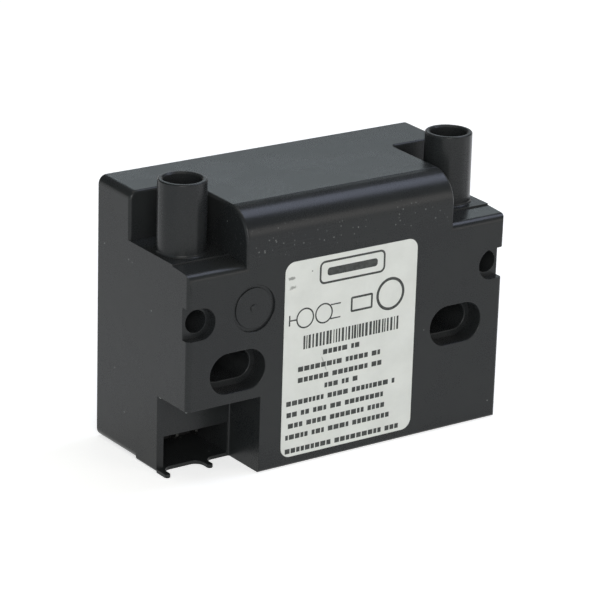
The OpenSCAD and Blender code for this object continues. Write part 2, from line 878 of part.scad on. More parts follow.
module potting_resin() {
    color("#17181a") difference() {
        cavity();
        block(-side_x, side_x, pour_y, back_y + 2 * cut, -cut, body_h + cut);
        embedded();
    }
}

module seal_coat() {
    color("#1d1e20") intersection() {
        cavity();
        block(-side_x, side_x, pour_y, fill_y, 0, body_h);
    }
}

case();
rating_label();
potting_resin();
seal_coat();
core_e_stack();
core_i_stack();
shunt_left();
shunt_right();
primary_bobbin();
primary_winding();
primary_wrap();
lower_secondary_bobbin();
lower_secondary_winding();
upper_secondary_bobbin();
upper_secondary_winding();
hv_contact_left();
hv_contact_right();
hv_lead_left();
hv_lead_right();
terminal_block();
live_tab();
earth_tab();
neutral_tab();
live_lead();
neutral_lead();
earth_lead();
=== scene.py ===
import math
import random

import bmesh
import bpy
from mathutils import Matrix, Vector


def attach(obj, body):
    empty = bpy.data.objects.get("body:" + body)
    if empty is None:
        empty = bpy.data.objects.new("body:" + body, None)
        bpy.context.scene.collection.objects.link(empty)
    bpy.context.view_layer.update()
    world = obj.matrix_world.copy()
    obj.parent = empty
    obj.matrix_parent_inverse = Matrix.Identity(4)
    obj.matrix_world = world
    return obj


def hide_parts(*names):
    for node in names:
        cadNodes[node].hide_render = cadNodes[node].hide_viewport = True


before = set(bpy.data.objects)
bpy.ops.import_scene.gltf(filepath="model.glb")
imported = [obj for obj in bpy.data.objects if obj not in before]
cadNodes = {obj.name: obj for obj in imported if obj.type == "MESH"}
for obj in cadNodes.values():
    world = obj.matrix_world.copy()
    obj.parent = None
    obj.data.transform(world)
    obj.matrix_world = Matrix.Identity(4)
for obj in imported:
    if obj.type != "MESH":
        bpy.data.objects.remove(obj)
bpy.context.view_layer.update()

chance = random.Random(26)      # one seeded source, so every run gives the same marks


# Small helpers

def mm(value):
    return value / 1000


def perMetre(sizeInMm):   # a pattern's scale on Object coordinates, from its real size
    return 1000 / sizeInMm


def bandsPerMetre(pitchInMm):   # a Wave texture's scale for bands of this pitch
    return perMetre(pitchInMm) * math.pi / 10


def linear(hexColour):
    channels = [int(hexColour[i:i + 2], 16) / 255 for i in (1, 3, 5)]
    return [c / 12.92 if c <= 0.04045 else ((c + 0.055) / 1.055) ** 2.4 for c in channels] + [1]


def addNode(tree, kind, settings=None, inputs=None, stops=None, output=0):
    # Adds a node with its settings, its values or links and, on a ramp, its stops
    node = tree.nodes.new(kind)
    for name, value in (settings or {}).items():
        setattr(node, name, value)
    for name, value in (inputs or {}).items():
        if isinstance(value, bpy.types.NodeSocket):
            tree.links.new(value, node.inputs[name])
        else:
            node.inputs[name].default_value = value
    if stops:
        while len(node.color_ramp.elements) < len(stops):
            node.color_ramp.elements.new(0.5)
        for element, (position, colour) in zip(node.color_ramp.elements, stops):
            element.position = position
            element.color = colour if not isinstance(colour, str) else linear(colour)
    return node.outputs[output] if node.outputs else node


def grey(level):
    return (level, level, level, 1)


def startMaterial(name):
    material = bpy.data.materials.new(name)
    material.use_nodes = True
    tree = material.node_tree
    tree.nodes.clear()
    return material, tree, addNode(tree, "ShaderNodeTexCoord", output="Object")


def finishMaterial(tree, sockets):
    surface = addNode(tree, "ShaderNodeBsdfPrincipled", inputs=sockets)
    addNode(tree, "ShaderNodeOutputMaterial", inputs={"Surface": surface})


smoothBelow = 40   # degrees between two faces; above it their edge stays sharp
areaPower = 3      # the weight of a face in a corner's normal is its area to this power


def settleNormals(mesh, smoothAngle):
    # Broad flat faces stay flat beside narrow rounded ones: each corner takes the mean normal of
    # the faces that it meets smoothly, in which the largest face counts far the most
    limit = math.cos(math.radians(smoothAngle))
    around = [[] for _ in mesh.vertices]
    for face in mesh.polygons:
        areaInMm = face.area / mm(1) ** 2
        for vertex in face.vertices:
            around[vertex].append((face.normal.copy(), areaInMm ** areaPower))
    normals = [None] * len(mesh.loops)
    for face in mesh.polygons:
        for corner, vertex in zip(face.loop_indices, face.vertices):
            mean = sum((normal * weight for normal, weight in around[vertex]
                        if normal.dot(face.normal) > limit), Vector())
            normals[corner] = mean.normalized() if mean.length > 0 else face.normal.copy()
    mesh.normals_split_custom_set(normals)


def finishPiece(name, bm, material, slot=None, smoothAngle=None, flatFaces=False):
    mesh = bpy.data.meshes.new(name)
    bm.to_mesh(mesh)
    bm.free()
    piece = bpy.data.objects.new(name, mesh)
    bpy.context.scene.collection.objects.link(piece)
    mesh.materials.append(material)
    if smoothAngle is not None:
        mesh.shade_smooth()
        mesh.set_sharp_from_angle(angle=math.radians(smoothAngle))
        if flatFaces:
            settleNormals(mesh, smoothAngle)
    if slot:
        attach(piece, "root")
    return piece


# Camera: the viewing angle that was fitted to the photograph's edges

cameraFit = {
    "place": (-426.98, -596.93, 297.14),       # mm
    "turn": (70.3097, -1.6616, -34.9380),      # degrees
    "lens": 182.63,                            # mm
    "sensor": 36,                              # mm
    "near": 0.01,                              # m, what lies closer isn't drawn
    "far": 50,
}


def makeCamera():
    data = bpy.data.cameras.new("camera")
    data.lens = cameraFit["lens"]
    data.sensor_width = cameraFit["sensor"]
    data.clip_start = cameraFit["near"]
    data.clip_end = cameraFit["far"]
    camera = bpy.data.objects.new("camera", data)
    camera.location = [mm(v) for v in cameraFit["place"]]
    camera.rotation_euler = [math.radians(v) for v in cameraFit["turn"]]
    bpy.context.scene.collection.objects.link(camera)
    bpy.context.scene.camera = camera
    bpy.context.scene.view_settings.view_transform = "Standard"


# Studio: soft boxes of a given brightness, a dim room with a pale backdrop, a pale floor

lampTarget = (0, 0, 35)   # mm, the point that all soft boxes face

softBoxes = {
    # name: direction from the object, distance, width, height (m), brightness, colour
    "frontBox": ((-0.50, -0.80, 0.36), 1.10, 0.60, 0.50, 5.9, "#fffdfc"),
    "leftBox": ((-0.95, -0.15, 0.35), 1.00, 0.70, 0.50, 0.8, "#def8ff"),
    "upperRightBox": ((0.55, -0.05, 0.83), 0.90, 0.40, 0.40, 4.8, "#dbe4ff"),
    "frontRightBox": ((0.55, -0.80, 0.30), 1.00, 0.60, 0.30, 2.5, "#fff9f4"),
    "backHighBox": ((0.50, 0.72, 0.45), 1.20, 0.60, 0.25, 1.9, "#ebf9ff"),
    "topBox": ((0.0, 0.0, 1.0), 1.00, 0.80, 0.80, 1.2, "#fffbf0"),
}

room = {
    "upper": "#5a5b5c",
    "backdrop": "#ffffff",   # a low pale wall round the floor
    "backdropTop": 0.10,     # sine of the elevation where it ends
    "upperFrom": 0.15,
}

floorLook = {
    "size": 12.0,
    "colour": "#e4e5e4",
    "glow": 0.62,            # lifts what the eye sees to white, and the shadow stays
    "nearTo": 0.35,          # m from the object; from there the glow grows
    "farFrom": 1.2,          # m, where it reaches a plain white
}


def makeSoftBox(name, direction, distance, width, height, brightness, colour):
    data = bpy.data.lights.new(name, "AREA")
    data.shape = "RECTANGLE"
    data.size = width
    data.size_y = height
    data.energy = brightness * math.pi * width * height   # W, for a face of that brightness
    data.color = linear(colour)[:3]
    lamp = bpy.data.objects.new(name, data)
    target = Vector([mm(v) for v in lampTarget])
    lamp.location = target + Vector(direction).normalized() * distance
    lamp.rotation_euler = (lamp.location - target).to_track_quat("Z", "Y").to_euler()
    bpy.context.scene.collection.objects.link(lamp)


def seenByEye(tree, strength):   # for camera, glossy and transmission rays, and 0 for all others
    path = addNode(tree, "ShaderNodeLightPath").node
    seen = path.outputs["Is Camera Ray"]
    for ray in ("Is Glossy Ray", "Is Transmission Ray"):
        seen = addNode(tree, "ShaderNodeMath", {"operation": "ADD", "use_clamp": True}, {
            0: seen, 1: path.outputs[ray]})
    return addNode(tree, "ShaderNodeMath", {"operation": "MULTIPLY"}, {0: seen, 1: strength})


def makeRoom():
    world = bpy.data.worlds.new("room")
    bpy.context.scene.world = world
    world.use_nodes = True
    tree = world.node_tree
    tree.nodes.clear()
    direction = addNode(tree, "ShaderNodeTexCoord", output="Generated")
    height = addNode(tree, "ShaderNodeSeparateXYZ", inputs={0: direction}, output="Z")
    backdrop = addNode(tree, "ShaderNodeValToRGB", inputs={"Fac": height}, stops=[
        (room["backdropTop"], room["backdrop"]), (room["upperFrom"], room["upper"])])
    shown = addNode(tree, "ShaderNodeBackground", inputs={"Color": backdrop})
    fill = addNode(tree, "ShaderNodeBackground", inputs={"Color": linear(room["upper"])})
    light = addNode(tree, "ShaderNodeMixShader", inputs={
        0: seenByEye(tree, 1.0), 1: fill, 2: shown})
    addNode(tree, "ShaderNodeOutputWorld", inputs={"Surface": light})


def makeFloor():
    material, tree, place = startMaterial("paintedStudioFloor")
    matt = addNode(tree, "ShaderNodeBsdfDiffuse", inputs={"Color": linear(floorLook["colour"])})
    away = addNode(tree, "ShaderNodeVectorMath", {"operation": "LENGTH"}, {
        0: place}, output="Value")
    glowHere = addNode(tree, "ShaderNodeMapRange", {}, {
        "Value": away, "From Min": floorLook["nearTo"], "From Max": floorLook["farFrom"],
        "To Min": floorLook["glow"], "To Max": 1.0})
    strength = seenByEye(tree, glowHere)
    glow = addNode(tree, "ShaderNodeEmission", inputs={"Color": grey(1), "Strength": strength})
    both = addNode(tree, "ShaderNodeAddShader", inputs={0: matt, 1: glow})
    addNode(tree, "ShaderNodeOutputMaterial", inputs={"Surface": both})
    bm = bmesh.new()
    bmesh.ops.create_grid(bm, x_segments=1, y_segments=1, size=floorLook["size"] / 2)
    floor = finishPiece("studioFloor", bm, material)


makeCamera()
makeRoom()
for boxName, box in softBoxes.items():
    makeSoftBox(boxName, *box)
makeFloor()
print("stage: camera, lights and floor are made")


# Materials that show: case, label film, ink, resin, contacts, tabs and terminal block

plasticLook = {
    "colours": ("#262829", "#2a2c2c"),
    "cloudSize": 14,              # mm, unevenness of colour and gloss
    "grainSize": 0.28,            # mm, the real 0.05 mm wouldn't show
    "waveSize": 9,                # mm, slow waviness of the faces
    "rubSize": 0.9,               # mm, across a rub mark
    "rubSlimness": 0.12,          # its width as a share of its length
    "rubTurn": 14,                # degrees
    "clusterSize": 8,             # mm
    # the pale colour of real dust specks, and of the painted glints on the front rounding
    "speckAndGlintColour": "#8b8e8c",
    "speckEvery": 6.0,            # mm between possible specks
    "speckRadius": 0.21,          # mm
    "speckShare": 0.4,            # of the possible specks
    "rubAndGlintZ": (56.0, 65.0),       # mm, height of the part of the front rounding with rub marks and painted glints
    "rubAndGlintY": (-15.0, -17.0),     # mm, from its upper edge to where it is full
    "fleckEvery": 1.3,            # mm, in that part alone, in clusters: pale flecks that are a painted highlight for small raised specks
    "fleckRadius": 0.20,          # mm
    "fleckStrength": 0.6,
    # roughness: the plain value, and what each pattern adds at its full strength
    "roughness": {"plain": 0.19, "cloud": 0.10, "grain": 0.08, "rub": 0.14},
    "waveInRelief": 6.0,          # the waves' height, where the grain's is 1
    "specular": 0.21,
    "bump": (0.35, 0.02),         # strength, and mm
}


def makeCasePlastic():
    # Glass-filled polyamide, injection moulded in a spark-eroded mould: deep black with a satin
    # gloss that is slightly uneven, a fine grain, faint rub marks, a few pale specks of dust, and
    # on the front rounding pale flecks that paint the glints of small raised specks
    look = plasticLook
    material, tree, place = startMaterial("mouldedPolyamide")
    cloud = addNode(tree, "ShaderNodeTexNoise", {}, {
        "Vector": place, "Scale": perMetre(look["cloudSize"]), "Detail": 3.0})
    grain = addNode(tree, "ShaderNodeTexNoise", {}, {
        "Vector": place, "Scale": perMetre(look["grainSize"]), "Detail": 2.0})
    wave = addNode(tree, "ShaderNodeTexNoise", {}, {
        "Vector": place, "Scale": perMetre(look["waveSize"]), "Detail": 1.0})
    colour = addNode(tree, "ShaderNodeValToRGB", {}, {"Fac": cloud}, stops=[
        (0.3, look["colours"][0]), (0.7, look["colours"][1])])

    # Specks: the middles of some cells of a 3-D cell pattern, picked by the cell's colour
    cells = addNode(tree, "ShaderNodeTexVoronoi", {}, {
        "Vector": place, "Scale": perMetre(look["speckEvery"])}).node
    pick = addNode(tree, "ShaderNodeSeparateColor", {}, {"Color": cells.outputs["Color"]})
    few = addNode(tree, "ShaderNodeMath", {"operation": "GREATER_THAN"}, {
        0: pick, 1: 1 - look["speckShare"]})
    reach = look["speckRadius"] / look["speckEvery"]
    near = addNode(tree, "ShaderNodeValToRGB", {}, {"Fac": cells.outputs["Distance"]}, stops=[
        (reach * 0.6, grey(1)), (reach * 1.2, grey(0))])
    speck = addNode(tree, "ShaderNodeMath", {"operation": "MULTIPLY"}, {0: few, 1: near})
    colour = addNode(tree, "ShaderNodeMix", {"data_type": "RGBA"}, {
        "Factor": speck, 6: colour, 7: linear(look["speckAndGlintColour"])}, output=2)

    # Part of the front rounding: long thin rub marks in the roughness, and small pale flecks in
    # clusters, a painted highlight for the glints of small raised specks
    axes = addNode(tree, "ShaderNodeSeparateXYZ", inputs={0: place}).node
    low, high = look["rubAndGlintZ"]
    zone = 1.0
    for axis, nothingAt, fullAt in (("Z", low, low + 2), ("Z", high, high - 2),
                                    ("Y", *look["rubAndGlintY"])):
        edge = addNode(tree, "ShaderNodeMapRange", {}, {
            "Value": axes.outputs[axis], "From Min": mm(nothingAt), "From Max": mm(fullAt)})
        zone = addNode(tree, "ShaderNodeMath", {"operation": "MULTIPLY"}, {0: zone, 1: edge})
    drawn = addNode(tree, "ShaderNodeMapping", {}, {
        "Vector": place, "Rotation": (0, math.radians(look["rubTurn"]), 0),
        "Scale": (look["rubSlimness"], 1, 1)})
    rub = addNode(tree, "ShaderNodeTexNoise", {}, {
        "Vector": drawn, "Scale": perMetre(look["rubSize"]), "Detail": 4.0})
    rub = addNode(tree, "ShaderNodeValToRGB", {}, {"Fac": rub}, stops=[
        (0.60, grey(0)), (0.70, grey(1))])
    rub = addNode(tree, "ShaderNodeMath", {"operation": "MULTIPLY"}, {0: rub, 1: zone})
    small = addNode(tree, "ShaderNodeTexVoronoi", {}, {
        "Vector": place, "Scale": perMetre(look["fleckEvery"])}, output="Distance")
    reach = look["fleckRadius"] / look["fleckEvery"]
    fleck = addNode(tree, "ShaderNodeValToRGB", {}, {"Fac": small}, stops=[
        (reach * 0.6, grey(1)), (reach * 1.3, grey(0))])
    cluster = addNode(tree, "ShaderNodeTexNoise", {}, {
        "Vector": place, "Scale": perMetre(look["clusterSize"]), "Detail": 2.0})
    cluster = addNode(tree, "ShaderNodeValToRGB", {}, {"Fac": cluster}, stops=[
        (0.42, grey(0)), (0.54, grey(look["fleckStrength"]))])
    for where in (cluster, zone):
        fleck = addNode(tree, "ShaderNodeMath", {"operation": "MULTIPLY"}, {0: fleck, 1: where})
    # painted highlight: the flecks turn the colour pale where small raised specks would glint
    colour = addNode(tree, "ShaderNodeMix", {"data_type": "RGBA"}, {
        "Factor": fleck, 6: colour, 7: linear(look["speckAndGlintColour"])}, output=2)

    gloss = look["roughness"]["plain"]
    for pattern, name in ((cloud, "cloud"), (grain, "grain"), (rub, "rub")):
        gloss = addNode(tree, "ShaderNodeMath", {"operation": "MULTIPLY_ADD"}, {
            0: pattern, 1: look["roughness"][name], 2: gloss})
    relief = addNode(tree, "ShaderNodeMath", {"operation": "MULTIPLY_ADD"}, {
        0: wave, 1: look["waveInRelief"], 2: grain})
    strength, depth = look["bump"]
    bump = addNode(tree, "ShaderNodeBump", {}, {
        "Strength": strength, "Distance": mm(depth), "Height": relief})
    finishMaterial(tree, {"Base Color": colour, "Roughness": gloss,
                          "Specular IOR Level": look["specular"], "Normal": bump})
    return material


labelWear = {
    "marks": {
        # middle x and z, half length, half width (mm), turn (degrees), colour
        "smudgeUpper": (-18.3, 50.1, 2.5, 1.0, -4, "#838580"),
        "smudgeLower": (-18.0, 47.6, 2.8, 1.0, -14, "#91938d"),
        "fleck": (-12.2, 51.0, 0.5, 0.5, 0, "#7e807a"),
        "scratch": (-7.9, 26.0, 5.6, 0.42, 67.5, "#a3a59f"),
    },
    "markY": -21.1,      # mm, the film's front
    "raggedSize": 0.7,   # mm, what breaks up the marks' edges
    "ragged": 0.9,       # how much of a mark's size it takes
}


def makeLabelFilm():
    # Satin polyester film with a white coat: smooth, slightly soiled near its edges
    material, tree, place = startMaterial("whitePolyesterFilm")
    soil = addNode(tree, "ShaderNodeTexNoise", {}, {
        "Vector": place, "Scale": perMetre(7), "Detail": 4.0, "Roughness": 0.6})
    colour = addNode(tree, "ShaderNodeValToRGB", {}, {"Fac": soil}, stops=[
        (0.3, "#dcdfd9"), (0.62, "#e4e7e1")])
    rough = addNode(tree, "ShaderNodeTexNoise", {}, {
        "Vector": place, "Scale": perMetre(labelWear["raggedSize"]), "Detail": 3.0})
    for x, z, halfLength, halfWidth, turn, tint in labelWear["marks"].values():
        centred = addNode(tree, "ShaderNodeMapping", {"vector_type": "TEXTURE"}, {
            "Vector": place, "Location": (mm(x), mm(labelWear["markY"]), mm(z)),
            "Rotation": (0, math.radians(turn), 0), "Scale": (mm(halfLength), 1, mm(halfWidth))})
        away = addNode(tree, "ShaderNodeVectorMath", {"operation": "LENGTH"}, {
            0: centred}, output="Value")
        away = addNode(tree, "ShaderNodeMath", {"operation": "MULTIPLY_ADD"}, {
            0: rough, 1: labelWear["ragged"], 2: away})
        mark = addNode(tree, "ShaderNodeValToRGB", {}, {"Fac": away}, stops=[
            (0.72, grey(0.85)), (0.98, grey(0))])
        colour = addNode(tree, "ShaderNodeMix", {"data_type": "RGBA"}, {
            "Factor": mark, 6: colour, 7: linear(tint)}, output=2)
    finishMaterial(tree, {"Base Color": colour, "Roughness": 0.42, "Specular IOR Level": 0.4})
    return material


def makePrintInk():
    # Thermal transfer ink on film: near black, a little thin in places
    material, tree, place = startMaterial("transferPrintInk")
    thin = addNode(tree, "ShaderNodeTexNoise", {}, {
        "Vector": place, "Scale": perMetre(1.1), "Detail": 3.0})
    colour = addNode(tree, "ShaderNodeValToRGB", {}, {"Fac": thin}, stops=[
        (0.35, "#303331"), (0.75, "#4a4d4a")])
    finishMaterial(tree, {"Base Color": colour, "Roughness": 0.38, "Specular IOR Level": 0.3})
    return material


def makePottingResin():
    # Cast epoxy resin, poured and cured: deep black, glossy, with a slow waviness from the pour,
    # pin-sized bubbles that broke at its surface, and a film of dust
    material, tree, place = startMaterial("castEpoxyResin")
    pour = addNode(tree, "ShaderNodeTexNoise", {}, {
        "Vector": place, "Scale": perMetre(16), "Detail": 2.0, "Distortion": 0.6})
    dust = addNode(tree, "ShaderNodeTexNoise", {}, {
        "Vector": place, "Scale": perMetre(2.4), "Detail": 5.0})
    bubbles = addNode(tree, "ShaderNodeTexVoronoi", {}, {
        "Vector": place, "Scale": perMetre(7)}, output="Distance")
    pit = addNode(tree, "ShaderNodeValToRGB", {}, {"Fac": bubbles}, stops=[
        (0.035, grey(0)), (0.075, grey(1))])
    colour = addNode(tree, "ShaderNodeValToRGB", {}, {"Fac": dust}, stops=[
        (0.4, "#1d1e1f"), (0.8, "#2e3031")])
    gloss = addNode(tree, "ShaderNodeMapRange", {}, {
        "Value": dust, "From Min": 0.35, "From Max": 0.75, "To Min": 0.13, "To Max": 0.34})
    height = addNode(tree, "ShaderNodeMath", {"operation": "MULTIPLY_ADD"}, {
        0: pour, 1: 4.0, 2: pit})
    bump = addNode(tree, "ShaderNodeBump", {}, {
        "Strength": 0.6, "Distance": mm(0.12), "Height": height})
    finishMaterial(tree, {"Base Color": colour, "Roughness": gloss, "Normal": bump})
    return material


def makeTurnedBrass():
    # Free-cutting brass turned on a lathe: warm yellow, with fine rings that streak the highlight
    material, tree, place = startMaterial("turnedBrass")
    height = addNode(tree, "ShaderNodeSeparateXYZ", inputs={0: place}, output="Z")
    rings = addNode(tree, "ShaderNodeTexNoise", {"noise_dimensions": "1D"}, {
        "W": height, "Scale": perMetre(0.2), "Detail": 1.0})   # real feed 0.08 mm
    stain = addNode(tree, "ShaderNodeTexNoise", {}, {
        "Vector": place, "Scale": perMetre(3), "Detail": 3.0})
    colour = addNode(tree, "ShaderNodeValToRGB", {}, {"Fac": stain}, stops=[
        (0.35, "#8f7238"), (0.7, "#c4a35e")])
    gloss = addNode(tree, "ShaderNodeMapRange", {}, {
        "Value": rings, "To Min": 0.22, "To Max": 0.44})
    bump = addNode(tree, "ShaderNodeBump", {}, {
        "Strength": 0.3, "Distance": mm(0.02), "Height": rings})
    finishMaterial(tree, {"Base Color": colour, "Metallic": 1.0, "Roughness": gloss,
                          "Normal": bump})
    return material


def makeTinnedBrass():
    # Rolled brass strip, stamped and tin plated: grey, mottled, rolling lines. The grey is darker
    # than tin's own, a painted shade for the dark inside of the socket
    material, tree, place = startMaterial("tinPlatedBrass")
    drawn = addNode(tree, "ShaderNodeMapping", {}, {"Vector": place, "Scale": (1, 0.08, 1)})
    lines = addNode(tree, "ShaderNodeTexNoise", {}, {
        "Vector": drawn, "Scale": perMetre(0.25), "Detail": 2.0})
    mottle = addNode(tree, "ShaderNodeTexNoise", {}, {
        "Vector": place, "Scale": perMetre(1.8), "Detail": 3.0})
    # painted shade: darker than tin, so that the tabs look as dark as the shaded socket round them
    colour = addNode(tree, "ShaderNodeValToRGB", {}, {"Fac": mottle}, stops=[
        (0.3, "#4f504e"), (0.7, "#747572")])
    gloss = addNode(tree, "ShaderNodeMapRange", {}, {
        "Value": lines, "To Min": 0.40, "To Max": 0.62})
    bump = addNode(tree, "ShaderNodeBump", {}, {
        "Strength": 0.25, "Distance": mm(0.02), "Height": lines})
    finishMaterial(tree, {"Base Color": colour, "Metallic": 1.0, "Roughness": gloss,
                          "Normal": bump})
    return material


def makeTerminalPlastic():
    # Phenolic moulding compound, pressed: brown-black, duller than the case, with flow mottle
    material, tree, place = startMaterial("pressedPhenolic")
    mottle = addNode(tree, "ShaderNodeTexNoise", {}, {
        "Vector": place, "Scale": perMetre(1.5), "Detail": 4.0, "Distortion": 0.4})
    colour = addNode(tree, "ShaderNodeValToRGB", {}, {"Fac": mottle}, stops=[
        (0.3, "#232323"), (0.7, "#2e2d2c")])
    gloss = addNode(tree, "ShaderNodeMapRange", {}, {
        "Value": mottle, "To Min": 0.4, "To Max": 0.58})
    bump = addNode(tree, "ShaderNodeBump", {}, {
        "Strength": 0.3, "Distance": mm(0.03), "Height": mottle})
    finishMaterial(tree, {"Base Color": colour, "Roughness": gloss, "Normal": bump})
    return material


casePlastic = makeCasePlastic()
labelFilm = makeLabelFilm()
printInk = makePrintInk()
pottingResin = makePottingResin()
turnedBrass = makeTurnedBrass()
tinnedBrass = makeTinnedBrass()
terminalPlastic = makeTerminalPlastic()
print("stage: materials that show are made")


# Materials of the inner pieces, which the resin covers

def makeCoreSteel():
    # Silicon steel sheets, punched and stacked: 0.5 mm bands with dark joints and a little rust
    material, tree, place = startMaterial("siliconSteelSheets")
    sheets = addNode(tree, "ShaderNodeTexWave", {"bands_direction": "Y"}, {
        "Vector": place, "Scale": bandsPerMetre(0.5)}, output="Fac")
    joint = addNode(tree, "ShaderNodeValToRGB", {}, {"Fac": sheets}, stops=[
        (0.06, grey(0.35)), (0.22, grey(1))])
    rust = addNode(tree, "ShaderNodeTexNoise", {}, {
        "Vector": place, "Scale": perMetre(5), "Detail": 5.0})
    steel = addNode(tree, "ShaderNodeValToRGB", {}, {"Fac": rust}, stops=[
        (0.5, "#85898c"), (0.72, "#7a5a44")])
    colour = addNode(tree, "ShaderNodeMix", {"data_type": "RGBA", "blend_type": "MULTIPLY"}, {
        "Factor": 1.0, 6: steel, 7: joint}, output=2)
    gloss = addNode(tree, "ShaderNodeMapRange", {}, {
        "Value": rust, "To Min": 0.34, "To Max": 0.66})
    bump = addNode(tree, "ShaderNodeBump", {}, {
        "Strength": 0.5, "Distance": mm(0.05), "Height": joint})
    finishMaterial(tree, {"Base Color": colour, "Metallic": 1.0, "Roughness": gloss,
                          "Normal": bump})
    return material


def makeBobbinNylon():
    # Glass-filled nylon in its natural colour, moulded: cream, dull, with short fibre streaks
    material, tree, place = startMaterial("glassFilledNylon")
    flow = addNode(tree, "ShaderNodeMapping", {}, {"Vector": place, "Scale": (0.2, 1, 1)})
    fibre = addNode(tree, "ShaderNodeTexNoise", {}, {
        "Vector": flow, "Scale": perMetre(0.4), "Detail": 3.0})
    colour = addNode(tree, "ShaderNodeValToRGB", {}, {"Fac": fibre}, stops=[
        (0.3, "#c6bda6"), (0.7, "#d8d1bd")])
    gloss = addNode(tree, "ShaderNodeMapRange", {}, {
        "Value": fibre, "To Min": 0.42, "To Max": 0.6})
    bump = addNode(tree, "ShaderNodeBump", {}, {
        "Strength": 0.3, "Distance": mm(0.03), "Height": fibre})
    finishMaterial(tree, {"Base Color": colour, "Roughness": gloss, "Normal": bump})
    return material


def makeWindingCopper():
    # Copper wire with a clear enamel, wound in level layers: the colour is darkened between the
    # turns, a painted shade, which leaves one bright line on each turn, a painted highlight
    material, tree, place = startMaterial("enamelledCopperWire")
    turns = addNode(tree, "ShaderNodeTexWave", {"bands_direction": "Z"}, {   # finest wire 0.07 mm,
        "Vector": place, "Scale": bandsPerMetre(0.35)}, output="Fac")        # coarser to show
    uneven = addNode(tree, "ShaderNodeTexNoise", {}, {
        "Vector": place, "Scale": perMetre(6), "Detail": 2.0})
    copper = addNode(tree, "ShaderNodeValToRGB", {}, {"Fac": uneven}, stops=[
        (0.35, "#8e4423"), (0.7, "#b8673a")])
    # painted shade between the turns, and a painted highlight along each turn
    paintedTurnShade = addNode(tree, "ShaderNodeValToRGB", {}, {"Fac": turns}, stops=[
        (0.1, grey(0.3)), (0.5, grey(1))])
    colour = addNode(tree, "ShaderNodeMix", {"data_type": "RGBA", "blend_type": "MULTIPLY"}, {
        "Factor": 1.0, 6: copper, 7: paintedTurnShade}, output=2)
    gloss = addNode(tree, "ShaderNodeMapRange", {}, {
        "Value": uneven, "To Min": 0.22, "To Max": 0.36})
    bump = addNode(tree, "ShaderNodeBump", {}, {
        "Strength": 0.8, "Distance": mm(0.1), "Height": turns})
    finishMaterial(tree, {"Base Color": colour, "Metallic": 1.0, "Roughness": gloss,
                          "Normal": bump})
    return material


def makeWindingTape():
    # Polyester film tape, wrapped by hand: amber yellow, glossy, with creases and lapped edges
    material, tree, place = startMaterial("polyesterTape")
    crease = addNode(tree, "ShaderNodeTexNoise", {}, {
        "Vector": place, "Scale": perMetre(4), "Detail": 3.0, "Distortion": 1.2})
    laps = addNode(tree, "ShaderNodeTexWave", {"bands_direction": "Z"}, {
        "Vector": place, "Scale": bandsPerMetre(4.5), "Distortion": 0.4}, output="Fac")
    colour = addNode(tree, "ShaderNodeValToRGB", {}, {"Fac": laps}, stops=[
        (0.1, "#a9761b"), (0.4, "#cf9c2c")])
    gloss = addNode(tree, "ShaderNodeMapRange", {}, {
        "Value": crease, "To Min": 0.2, "To Max": 0.42})
    bump = addNode(tree, "ShaderNodeBump", {}, {
        "Strength": 0.5, "Distance": mm(0.08), "Height": crease})
    finishMaterial(tree, {"Base Color": colour, "Roughness": gloss, "Normal": bump})
    return material


leadLooks = {
    # material name: two colours, pitch of the colour bands (mm, 0 for none), roughness
    "redSiliconeSheath": ("#8f2019", "#a32a20", 0, 0.55),
    "brownVinylSheath": ("#4a2f20", "#573826", 0, 0.40),
    "blueVinylSheath": ("#1d528f", "#2460a4", 0, 0.40),
    "greenYellowVinylSheath": ("#2f7a38", "#c9b62a", 5.0, 0.40),
}


def makeLeadSheath(name, first, second, pitch, roughness):
    # Rubber or soft vinyl drawn over stranded wire: even colour, faint swells from the strands
    material, tree, place = startMaterial(name)
    swell = addNode(tree, "ShaderNodeTexNoise", {}, {
        "Vector": place, "Scale": perMetre(1.4), "Detail": 2.0})
    if pitch:
        mix = addNode(tree, "ShaderNodeTexWave", {"bands_direction": "DIAGONAL"}, {
            "Vector": place, "Scale": bandsPerMetre(pitch)}, output="Fac")
        stops = [(0.48, first), (0.52, second)]
    else:
        mix, stops = swell, [(0.3, first), (0.7, second)]
    colour = addNode(tree, "ShaderNodeValToRGB", {}, {"Fac": mix}, stops=stops)
    gloss = addNode(tree, "ShaderNodeMapRange", {}, {
        "Value": swell, "To Min": roughness - 0.06, "To Max": roughness + 0.06})
    bump = addNode(tree, "ShaderNodeBump", {}, {
        "Strength": 0.3, "Distance": mm(0.05), "Height": swell})
    finishMaterial(tree, {"Base Color": colour, "Roughness": gloss, "Normal": bump})
    return material


coreSteel = makeCoreSteel()
bobbinNylon = makeBobbinNylon()
windingCopper = makeWindingCopper()
windingTape = makeWindingTape()
redSheath, brownSheath, blueSheath, earthSheath = [
    makeLeadSheath(name, *look) for name, look in leadLooks.items()]
print("stage: materials of the inner pieces are made")


# Moulded case: a merged copy of the CAD case whose edges get the small radii of a moulding

